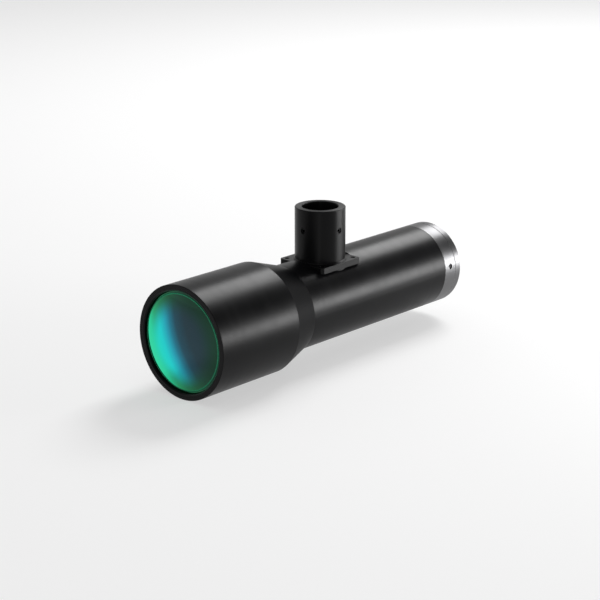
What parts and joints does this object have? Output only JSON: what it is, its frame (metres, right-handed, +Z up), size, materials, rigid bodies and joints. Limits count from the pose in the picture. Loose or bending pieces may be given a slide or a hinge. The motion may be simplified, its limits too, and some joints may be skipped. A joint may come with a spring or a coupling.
{
  "type": "telecentric lens",
  "caption": "Telecentric machine-vision lens: large coated front glass in a stepped black tube, upright side port for in-line lighting, bright threaded camera mount.",
  "frame": {"origin": "centre of the camera shoulder, the flat annular face that a camera screws up against", "axes": "+Y along the optical axis towards the camera, front glass at -Y; +Z up along the light port"},
  "size_m": [0.0487, 0.1686, 0.0657],
  "materials": {
    "satin_black": "satin black anodised",
    "dull_black": "matt black anodised",
    "bare_aluminium": "fine turned, clear",
    "black_steel": "black oxide",
    "plain_steel": "plain",
    "coated_glass": "polished, anti-reflection coated with a green to cyan sheen",
    "clear_glass": "polished",
    "splitter_glass": "half-silvered"
  },
  "bodies": {
    "root": {"front_barrel": "satin_black", "front_retaining_ring": "satin_black", "front_crown_lens": "coated_glass", "front_flint_lens": "clear_glass", "front_spacer": "dull_black", "front_inner_lens": "clear_glass", "front_baffle": "dull_black", "main_tube": "satin_black", "light_port": "satin_black", "port_flange_screws": "black_steel", "port_set_screws": "black_steel", "condenser_lens": "clear_glass", "beamsplitter_holder": "dull_black", "beamsplitter_plate": "splitter_glass", "stop_cell": "dull_black", "aperture_stop": "dull_black", "stop_spacer": "dull_black", "rear_crown_lens": "clear_glass", "rear_flint_lens": "clear_glass", "rear_spacer": "dull_black", "rear_inner_lens": "clear_glass", "cell_retaining_ring": "dull_black", "cell_lock_ring": "dull_black", "rear_ring": "bare_aluminium", "ring_set_screws": "plain_steel", "camera_mount": "bare_aluminium"}
  },
  "joints": []
}
